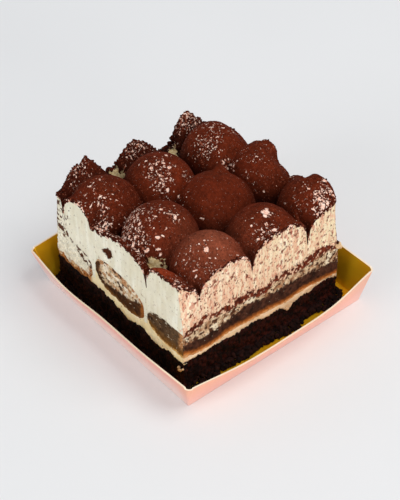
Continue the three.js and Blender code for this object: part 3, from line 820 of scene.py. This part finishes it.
def last_finger(p, reach, share, soft, fine):
    """Its end, soaked right through; dotted with cream along the top."""
    dark = paint(mottle(noise(p, 1.3, 106), (102, 76, 52), (52, 34, 20), 0.7),
                 (soft_step(0.3 - share + 0.08 * soft, 0.35), 112, 72, 28),
                 (soft_step(0.08 - share + 0.03 * soft, 0.08), 206, 160, 92))
    corner = soft_step(reach - 0.22 + 0.06 * soft, 0.14) * soft_step(share - 0.38, 0.3)
    warm = mottle(noise(p, 1.1, 107), (214, 158, 104), (140, 78, 38))
    rim = soft_step(share - 0.92 + 0.08 * soft, 0.06) * (1 - corner)
    dots = rim * soft_step(noise(p, 1.2, 108), 0.4)
    colour = paint(blend(corner, dark, warm), (dots, 196, 184, 160))
    return colour, 0.42 + 0.2 * corner, 0.26 + 0.3 * corner


def long_side(p, soft, fine):
    """The last ladyfinger cut lengthways: wet underside, soaked, porous, then its crust."""
    y, z = p[..., 1], p[..., 2]
    wet_to = along(RIGHT_SOAK_FOOT, y) + 0.3 * fine
    soak_to = along(RIGHT_SOAK_TOP, y) + 0.6 * soft + 0.9 * fine
    crust_from = along(RIGHT_CRUST, y) - 0.9 + 0.4 * soft + 0.6 * fine
    foot = along(RIGHT_FOOT, y)
    wet = (z - foot) / np.maximum(wet_to - foot, 0.3)
    tan = blend(wet, srgb(232, 176, 122), srgb(190, 114, 46))
    brown = blend((z - wet_to) / 1.6, srgb(168, 94, 40), srgb(66, 34, 18))
    grey = mottle(noise(p, 1.2, 109), (82, 48, 34), (42, 22, 14), 0.7)
    soaked = blend(ramp(z - wet_to, 0.8, 2.6), brown, grey)
    porous = paint(mottle(noise(p, 1.3, 110), (218, 190, 154), (158, 112, 78), 0.9),
                   (dabs(p, 2, 117, 0.75), 232, 214, 184), (dabs(p, 1.1, 119, 0.8), 84, 50, 32))
    crust = paint(mottle(fine, (118, 50, 28), (58, 18, 10), 0.8),
                  (dabs(p, 0.9, 121, 0.8), 224, 182, 150))
    colour = blend(soft_step(z - wet_to, 0.35), tan, soaked)
    colour = blend(soft_step(z - soak_to, 0.8), colour, porous)
    colour = blend(soft_step(z - crust_from, 0.5), colour, crust)
    inner = soft_step(z - soak_to, 0.6) * (1 - soft_step(z - crust_from, 0.4))
    return colour, 0.15 + 0.25 * inner + 0.2 * soft_step(z - wet_to - 1, 1), 0.28 * inner


def finger_look(k, p, share, pick):
    x0, _, width, _, _, _ = FINGERS[k]
    soft, fine = fractal(p, 3, 90 + k), noise(p, 0.9, 95 + k)
    reach = (p[..., 0] - x0) / (width / 2)
    look = (first_finger, middle_finger, last_finger)[k](p, reach, share, soft, fine)
    if k == LAST:
        side = ON_RIGHT[pick]
        look = [np.where(side[:, None] if a.ndim == 3 else side, a, b)
                for a, b in zip(long_side(p, soft, fine), look)]
    return look


for k, (foot, top, s) in enumerate(lines):
    parts, looks = [], []
    for pick in runs(s > 0):
        if len(pick) < FEWEST_COLUMNS:
            continue
        p, faces, share = wall(np.where(s > 0, np.maximum(foot, sponge_top + 0.2), 0),
                               np.where(s > 0, top, 0), finger_relief, rows=60, columns=pick)
        parts.append((p.reshape(-1, 3), faces))
        looks.append([a.reshape(len(parts[-1][0]), -1) for a in finger_look(k, p, share, pick)])
    tint, speck, crumb = (np.concatenate(part) for part in zip(*looks))
    make_piece(f"ladyfinger_cut_{k + 1}", *join(parts), [FINGER], f"ladyfinger_{k + 1}",
               "ladyfinger", tint, speck=speck, crumb=crumb)

# -- custard


def custard_relief(p):
    return 0.45 * fractal(p, 2.6, 25) + 0.12 * noise(p, 0.9, 27) - 0.12


p, faces, _ = wall(sponge_top, custard_top, custard_relief, rows=16)
tint = mottle(fractal(p, 4, 28), (252, 240, 204), (238, 214, 158))
brown = mottle(noise(p, 1.1, 101), (196, 136, 78), (116, 64, 28))
tint = blend(soft_step(-17 - p[..., 0], 2), tint, brown)  # under the first ladyfinger
peach = mottle(fractal(p, 2.5, 29), (252, 226, 192), (240, 200, 156))
make_piece("custard", p, faces, [CUSTARD], "custard_cream", "custard_cream",
           np.where(ON_RIGHT[:, None], peach, tint), speck=0.12, drawn=0)

# -- mascarpone cream

SKIN = 0.3  # how far the cream goes up into the cocoa
TOP_EDGE = on_top(UV[:, 0], UV[:, 1], SKIN)[:, 2]


def cavity(p):
    """The torn hollow in the front cut, 1 at its middle."""
    x, z = p[..., 0] - CAVITY[0], p[..., 2] - CAVITY[1]
    slant = z - 0.18 * x + 0.35 * noise(p, 1.3, 43)
    ragged_edge = 1 + 0.5 * noise(p, 0.8, 139)
    return ragged_edge * bell(x, 0, 3) * bell(slant, 0, 0.6 + 1.9 * ramp(x, -3, 1.5))


def cream_relief(p):
    """Fine upright marks of the knife, broad waves and the hollow."""
    marks = np.where(ON_RIGHT, 0.13, 0.05) * fractal(p * (1, 1, 0.1), 0.75, 35, 2, 0.7)
    waves = 0.16 * fractal(p, 5, 36) + 0.05 * noise(p, 1.4, 37)
    return marks + waves - 1.3 * cavity(p) * ON_FRONT


p, faces, _ = wall(cream_foot, TOP_EDGE, cream_relief, rows=96, drop=2.5)
x, y, z = np.moveaxis(p, -1, 0)
below, above = TOP_EDGE - z, z - cream_foot
white = mottle(fractal(p, 6, 38), (236, 229, 207), (221, 213, 187))
# Painted highlights and painted shade: lighter and darker upright strokes along the knife marks.
stroke_light_and_shade = fractal(p * (1, 0.15, 0.15), 1.4, 141, 2, 0.6)
white = paint(white, (0.4 * ramp(-stroke_light_and_shade, 0.05, 0.5), 212, 200, 168),
              (0.6 * ramp(stroke_light_and_shade, 0.1, 0.5), 244, 240, 222),
              (0.6 * dabs(p, 0.8, 143, 0.38), 150, 118, 88))
back_share = ramp(y, -30, 30) + 0.25 * fractal(p, 7, 40)
pink = blend(back_share, srgb(236, 208, 174), srgb(232, 212, 172))
comb = fractal(p * (1, 1, 0.08), 1.1, 123, 2, 0.6)
clusters = 0.58 + 0.18 * noise(p, 4.5, 135)
pink = paint(pink, (0.8 * ramp(comb, 0, 0.5), 250, 234, 204),
             (0.5 * ramp(-comb, 0, 0.5), 220, 162, 132),
             (dabs(p * (1, 1, 0.8), 0.7, 125, clusters), 104, 46, 30),
             (0.7 * dabs(p * (1, 1, 0.5), 0.8, 133, 0.66), 192, 108, 84))
left_end = bell(x, LEFT, 8.5) * ramp(below, 0.5, 3) * (1 - ramp(below, 11, 17)) * ON_FRONT
right_end = bell(x, RIGHT, 1.6) * ramp(z, 28, 33) * ON_FRONT
tint = paint(np.where(ON_RIGHT[:, None], pink, white),
             (dabs(p, 1, 145, 1.25 * bell(x, RIGHT, 1.8) * ON_FRONT), 230, 186, 158),
             (dabs(p, 1, 147, bell(y, FRONT, 2) * ON_RIGHT), 236, 226, 202),
             # painted shade: the inside of the hollow in the front cut is painted a near-black
             # brown
             (soft_step(cavity(p) * ON_FRONT - 0.4, 0.15), 70, 30, 4),
             (dabs(p, 1, 127, 1.15 * np.maximum(left_end, right_end)), 78, 42, 26),
             (chain(p) * ON_FRONT, 84, 48, 28))
speck = np.where(ON_RIGHT, 0.2, 0.1) + 0.35 * ramp(1.6 - below, 0, 1.6)
speck = speck + 0.55 * left_end + 0.6 * right_end
speck = speck + 0.6 * ON_FRONT * (x < -16) * ramp(1.4 - above, 0, 1)
speck = speck + 0.55 * ON_RIGHT * ramp(2.4 - above, 0, 2.4)
drawn = ON_RIGHT * (0.95 - 0.15 * ramp(y, 0, 32) + 0.2 * fractal(p, 5, 42))
make_piece("mascarpone", p, faces, [CREAM], "mascarpone_cream", "mascarpone_cream", tint,
           speck=speck, drawn=np.clip(drawn, 0, 1))

# -- cocoa coat: the domed top and the band that shows at the cuts

TOP_COUNT = 300
CEILING = cad_box[1][2] / MM
SPLATS_PER_FLECK = 1.5
MARK_SCALE, MARK_STRENGTH = 1.15, 1.05
u = np.linspace(0, 1, TOP_COUNT)
uu, vv = np.meshgrid(u, u)
top = on_top(uu, vv, COCOA_TOP)
tx, ty = top[..., 0], top[..., 1]


def fleck_splats():
    """Torn little ovals: x, y, half length, half width, direction, strength."""
    rng = np.random.default_rng(21)
    rows = []
    for x, y, spread, count, size in FLECKS:
        count = int(SPLATS_PER_FLECK * count)
        place = rng.normal(0, 0.55 * spread, (count, 2)) + (x, y)
        length = size * (0.26 + 0.72 * rng.random(count) ** 2.4)
        width = np.minimum(length, size * (0.18 + 0.32 * rng.random(count) ** 2))
        rows.append(np.column_stack([place, length, width, math.pi * rng.random(count),
                                     0.34 + 0.62 * rng.random(count)]))
    rows.append([(x, y, length / 2 * MARK_SCALE, width / 2 * MARK_SCALE, math.radians(turn),
                  MARK_STRENGTH) for x, y, length, width, turn in MARKS])
    return np.concatenate(rows)


def fleck_field(p, splats):
    """How strongly the cream shows through at points of the domed surface."""
    field = np.zeros(p.shape[:-1])
    x, y = splats[:, 0], splats[:, 1]
    centres = np.column_stack([x, y, cream_top(x, y) + COCOA_TOP])
    slope_x = (cream_top(x + 0.3, y) - cream_top(x - 0.3, y)) / 0.6
    slope_y = (cream_top(x, y + 0.3) - cream_top(x, y - 0.3)) / 0.6
    c, s = np.cos(splats[:, 4]), np.sin(splats[:, 4])
    ways = np.column_stack([c, s, slope_x * c + slope_y * s])
    ways /= np.linalg.norm(ways, axis=1)[:, None]
    for centre, way, (_, _, length, width, _, strength) in zip(centres, ways, splats):
        near = (np.abs(p[..., 0] - centre[0]) < length) & (np.abs(p[..., 1] - centre[1]) < length)
        d = p[near] - centre
        far = d @ way
        away = (far / length) ** 2 + ((d ** 2).sum(-1) - far ** 2) / width ** 2
        field[near] = np.maximum(field[near], strength * (1 - np.clip(away, 0, 1)))
    return field


def spot(x, y, size):
    """1 at a place on the top, fading within about size of it."""
    return bell(np.hypot(tx - x, ty - y), 0, size)


flecks = fleck_field(top, fleck_splats())
bare = np.maximum.reduce([spot(*place) for place in BARE]) * (1 - ramp(top[..., 2], 40.5, 43))
flat = np.stack([tx, ty, 0 * tx], -1)
crowd = np.maximum.reduce([min(1, count / spread ** 2 / 3) * spot(x, y, spread)
                           for x, y, spread, count, _ in FLECKS])
dust = np.maximum(crowd, 0.55 * (1 - spot(2.4, 3.2, 13)))  # the middle dome is the calmest
fine = 0.1 * noise(flat, 1.1, 33) + 0.16 * (crumbs(flat, 0.9, 32) - 0.5)
torn = (0.55 + 0.6 * ramp(-tx, 25, 29)) * ramp(crowd, 0.3, 0.9) * (crumbs(flat, 1.5, 34) - 0.55)
lumps = 0.12 * fractal(flat, 3.2, 31) + fine + torn
edge_in = np.minimum(np.minimum(uu, 1 - uu), np.minimum(vv, 1 - vv)) * 69
top[..., 2] += lumps * ramp(edge_in, 0, 0.6) - 0.25 * (1 - ramp(edge_in, 0, 0.5))
# Painted shade: the coat is made darker the lower it lies over the cream bed, down into the
# creases between the domes.
depth = np.clip((top[..., 2] - CREAM_BED - 1) / 10, 0, 1)
tone_and_painted_light = paint(blend(depth ** 0.8, srgb(42, 12, 5), srgb(96, 35, 16)),
             # painted highlights: the low front dome near the right cut, at spot(21, -35), and a
             # lit dome shoulder at spot(-9, -1) are made lighter
             (0.95 * spot(23.3, -16.5, 10), 138, 70, 48), (0.8 * spot(21, -35, 6), 146, 56, 28),
             (0.4 * spot(-9, -1, 5), 118, 42, 18), (0.3 * ramp(crowd, 0.3, 1), 50, 16, 9),
             (0.35 * ramp(-tx, 26, 30), 34, 14, 8))
warm = 0.05 * fractal(flat, 9, 41)[..., None] * np.array((1.2, -0.4, -0.8))
top[..., 2] = np.minimum(top[..., 2], CEILING)
make_piece("cocoa_top", top, grid_faces(TOP_COUNT, TOP_COUNT), [COCOA], "cocoa_coat", "cocoa",
           tone_and_painted_light * (1 + warm), fleck=flecks, bare=bare, dust=dust)

edge_top = on_top(UV[:, 0], UV[:, 1], COCOA_TOP)[:, 2] - 0.25
edge_foot = TOP_EDGE - np.maximum(0.15, DRAPE + ragged(1.5, 1.5, 45))


def band_relief(p):
    return 0.1 + 0.35 * (crumbs(p, 0.8, 46) - 0.5)


p, faces, share = wall(edge_foot, edge_top, band_relief, rows=11)
thin = 0.5 * bell(p[..., 0], LEFT, 6) * ON_FRONT
flecks = ramp(noise(p, 0.8, 48) + 0.25 * noise(p, 5, 49) + 0.35 * (1 - share) + thin, 0.25, 0.75)
make_piece("cocoa_edge", p, faces, [COCOA], None, "cocoa",
           mottle(noise(p, 0.9, 47), (92, 36, 20), (46, 15, 8)),
           fleck=0.9 * flecks, bare=0, dust=0.8)

# ------------ crumbs

SQUASH = 0.8  # a crumb's width for its length
EDGE_COUNT, RIDGE_COUNT, SPONGE_COUNT = 240, 150, 2000


def scatter(name, places, sizes, seed, material, slot, tint, **masks):
    """A piece of small uneven lumps, one at each place."""
    bm = bmesh.new()
    bmesh.ops.create_icosphere(bm, subdivisions=2, radius=1)
    ball = np.array([v.co[:] for v in bm.verts])
    tris = np.array([[v.index for v in f.verts] for f in bm.faces])
    bm.free()
    rng = np.random.default_rng(seed)
    parts = []
    for place, size in zip(places, sizes):
        shape = ball * (1 + 0.35 * noise(ball + 50 * rng.random(3), 0.8, seed))[:, None]
        turn = rng.random(3) * 6.28
        c, s = np.cos(turn), np.sin(turn)
        rx = np.array([[1, 0, 0], [0, c[0], -s[0]], [0, s[0], c[0]]])
        rz = np.array([[c[1], -s[1], 0], [s[1], c[1], 0], [0, 0, 1]])
        shape = shape * (1, SQUASH, 0.7 + 0.3 * rng.random()) @ rx.T @ rz.T * size / 2
        parts.append((shape + place, tris))
    verts, faces = join(parts)
    verts[:, 2] = np.minimum(verts[:, 2], CEILING)
    tint = np.atleast_2d(tint)
    make_piece(name, verts, faces, [material], None, slot,
               np.repeat(tint, len(verts) // len(tint), axis=0), **masks)


rng = np.random.default_rng(7)

# cocoa crumbs caught along the top edges of the cuts, and the larger ones at EDGE_CRUMBS
pick = rng.choice(len(UV), EDGE_COUNT, replace=False)
near_edge = on_top(UV[pick, 0], UV[pick, 1], COCOA_TOP - 0.1)
near_edge[:, 2] -= 2.2 * rng.random(len(pick)) ** 2
near_edge[:, :2] += OUT[pick] * (0.1 * rng.random(len(pick)) - 0.05)[:, None]
sizes = 0.35 + 0.6 * rng.random(len(pick)) ** 2
near_edge = np.concatenate([np.column_stack([near_edge, sizes]), EDGE_CRUMBS])
scatter("cocoa_crumbs", near_edge[:, :3], near_edge[:, 3], 3, COCOA, "cocoa", srgb(62, 22, 12),
        fleck=0, bare=0, dust=0.3)

# rougher bits along the peaks at the left cut
pick = rng.choice(np.flatnonzero(SIDE == 3), RIDGE_COUNT)
ridge = on_top(UV[pick, 0], UV[pick, 1], COCOA_TOP)
ridge[:, 0] += 1.6 * rng.random(len(pick)) ** 1.5
scatter("ridge_crumbs", ridge, 0.5 + 0.9 * rng.random(len(pick)) ** 2, 8, COCOA, "cocoa",
        srgb(84, 32, 17), fleck=0, bare=0, dust=0.6)

# sponge crumbs on the card, thick against the sponge and thinning outwards
INSIDE = FLOOR_HALF - CARD
pick = rng.integers(0, len(UV), SPONGE_COUNT)
foot, out = FOOT[pick, :2], OUT[pick]
sizes = 0.8 + 1.5 * rng.random(len(pick)) ** 2
reach = CRUMB_REACH[SIDE[pick]] * (0.8 + 0.35 * noise(FOOT[pick], 7, 51))
reach = np.where(ON_RIGHT[pick], along(CRUMB_REACH_RIGHT, foot[:, 1]) - 0.2 * sizes, reach)
reach = np.minimum(reach, INSIDE - np.abs(foot * out).max(1) - sizes / 2)
away = reach * rng.random(len(pick))
heap = np.maximum(0, 1 - away / 2.2) * 1.6 * rng.random(len(pick))
limit = (INSIDE - 0.7 * sizes)[:, None]
fallen = np.column_stack([np.clip(foot + out * away[:, None], -limit, limit),
                          CARD + 0.35 * sizes + heap])
scatter("sponge_crumbs", fallen, sizes, 4, SPONGE, "chocolate_sponge",
        blend(rng.random(len(pick)), srgb(14, 5, 5), srgb(46, 20, 15)), speck=0.4, crumb=0.2)

# a few crumbs of cream and ladyfinger that fell or were dragged out
loose = np.array(PALE_CRUMBS)
scatter("pale_crumbs", loose[:, :3], loose[:, 3], 5, FINGER, "ladyfinger", srgb(222, 184, 140),
        speck=0.25, crumb=0.3)

# ------------ tray

WALL_STEPS = 48
FOLD_STEPS = 8
WALL_RINGS, FLOOR_RINGS = 8, 12
GOLD, CORE, OUTSIDE = 0, 1, 2
MERGE = 1e-4  # points nearer than this become one


def tray_stations():
    """Foot points, rim points and outward directions right round the tray."""
    flares, stations = list(RIM_FLARE.values()), []
    for w, (x, y) in enumerate(((1, 0), (0, 1), (-1, 0), (0, -1))):
        way, normal = np.array((x, y)), np.array((y, -x))
        flare, before, after = flares[w], flares[w - 1][-1], flares[(w + 1) % 4][0]

        def add(a, b, c, d, rise, out):
            stations.append([(*(way * a + normal * b), 0), (*(way * c + normal * d), rise),
                             (*out, 0)])

        knots = [(i / 4, f) for i, f in enumerate(flare)]
        start = -(FLOOR_HALF + before - RIM_FOLD)
        end = FLOOR_HALF + after - RIM_FOLD
        for i in range(WALL_STEPS + 1):
            t = i / WALL_STEPS
            a = (2 * t - 1) * (FLOOR_HALF - FOOT_FOLD)
            c = start + (end - start) * t
            reach = float(along(knots, t))
            rise = math.sqrt(WALL_SLANT ** 2 - reach ** 2 - (c - a) ** 2)
            add(a, FLOOR_HALF, c, FLOOR_HALF + reach, rise, normal)
        rise = math.sqrt(WALL_SLANT ** 2 - flare[-1] ** 2 - after ** 2)
        for k in range(1, FOLD_STEPS):
            turn = math.pi / 2 * k / FOLD_STEPS
            s, c = math.sin(turn), math.cos(turn)
            add(FLOOR_HALF - FOOT_FOLD * (1 - s), FLOOR_HALF - FOOT_FOLD * (1 - c),
                FLOOR_HALF + after - RIM_FOLD * (1 - s),
                FLOOR_HALF + flare[-1] - RIM_FOLD * (1 - c), rise, normal * c + way * s)
    return np.array(stations, float).swapaxes(0, 1)


def build_tray():
    """The folded card: its walls, and the floor's two faces in rings towards the middle."""
    foot, rim, out = tray_stations()
    n = len(foot)
    t = np.linspace(0, 1, WALL_RINGS)[:, None, None]
    outer = foot + (rim - foot) * t
    inner = foot + (rim - foot) * (CARD / rim[:, 2:]) - out * CARD
    inner[:, 2] = CARD
    inner = inner + (rim - out * CARD - inner) * t
    rings = np.concatenate([outer, inner[::-1]])
    parts = [(rings.reshape(-1, 3), grid_faces(len(rings), n, closed=True))]
    kinds = [np.repeat([OUTSIDE] * (WALL_RINGS - 1) + [CORE] + [GOLD] * (WALL_RINGS - 1), n)]
    for loop, order, kind in ((rings[0], -1, OUTSIDE), (rings[-1], 1, GOLD)):
        disc = loop * np.linspace(1, 0, FLOOR_RINGS)[:, None, None]
        disc[..., 2] = loop[:, 2]
        faces = grid_faces(FLOOR_RINGS, n, closed=True)[:, ::order]
        parts.append((disc.reshape(-1, 3), faces))
        kinds.append(np.full(len(faces), kind))
    verts, faces = join(parts)
    verts = np.clip(verts, np.array(cad_box[0]) / MM, np.array(cad_box[1]) / MM)
    return verts, faces, np.concatenate(kinds)


verts, faces, kinds = build_tray()
tray = make_piece("gold_tray", verts, faces, [gold_material(), rim_material(), outside_material()],
                  "tray", "gold_card", face_material=kinds)
shell = bmesh.new()
shell.from_mesh(tray.data)
bmesh.ops.remove_doubles(shell, verts=shell.verts, dist=MERGE * MM)
shell.to_mesh(tray.data)
shell.free()
tray.data.shade_flat()

# ------------ the studio

FLOOR_REACH, FLOOR_DROP = 3, 5e-5
LIGHTS_AIM = Vector((0, 0, 0.02))
WARM, COOL = (1, 0.985, 0.97), (0.97, 0.985, 1)
SKY, SKY_STRENGTH = (0.93, 0.96, 1, 1), 0.58
AZIMUTH, ELEVATION = math.radians(50.15), math.radians(42.56)
AIM, DISTANCE = Vector((0.14, -1.63, 20)) * MM, 0.51767

floor = bpy.data.meshes.new("studio_floor")
floor.from_pydata([(FLOOR_REACH * x, FLOOR_REACH * y, -FLOOR_DROP)
                   for x, y in ((-1, -1), (1, -1), (1, 1), (-1, 1))], [], [(0, 1, 2, 3)])
floor.materials.append(floor_material())
floor = add_object("studio_floor", floor)

for name, place, size, power, colour in (
        ("key", (0.62, 0.48, 1.25), 1.1, 9.9, WARM),
        ("low", (1.42, -0.15, 0.22), 0.5, 5, WARM),
        ("fill", (0.05, -1.35, 0.5), 0.9, 6.3, COOL)):
    light = bpy.data.lights.new(name, "AREA")
    light.shape = "DISK"
    light.size = size
    light.energy = power
    light.color = colour
    lamp = add_object(name, light)
    lamp.location = place
    lamp.rotation_euler = (LIGHTS_AIM - Vector(place)).to_track_quat("-Z", "Y").to_euler()

world = bpy.data.worlds.new("studio")
world.use_nodes = True
background = world.node_tree.nodes["Background"].inputs
background["Color"].default_value = SKY
background["Strength"].default_value = SKY_STRENGTH
scene.world = world
scene.view_settings.view_transform = "Standard"

back = Vector((math.sin(AZIMUTH) * math.cos(ELEVATION), -math.cos(AZIMUTH) * math.cos(ELEVATION),
               math.sin(ELEVATION)))
camera = add_object("camera", bpy.data.cameras.new("camera"))
camera.data.lens = 108
camera.data.sensor_width = 36
camera.data.clip_start = 0.01
camera.location = AIM + back * DISTANCE
camera.rotation_euler = back.to_track_quat("Z", "Y").to_euler()
scene.camera = camera
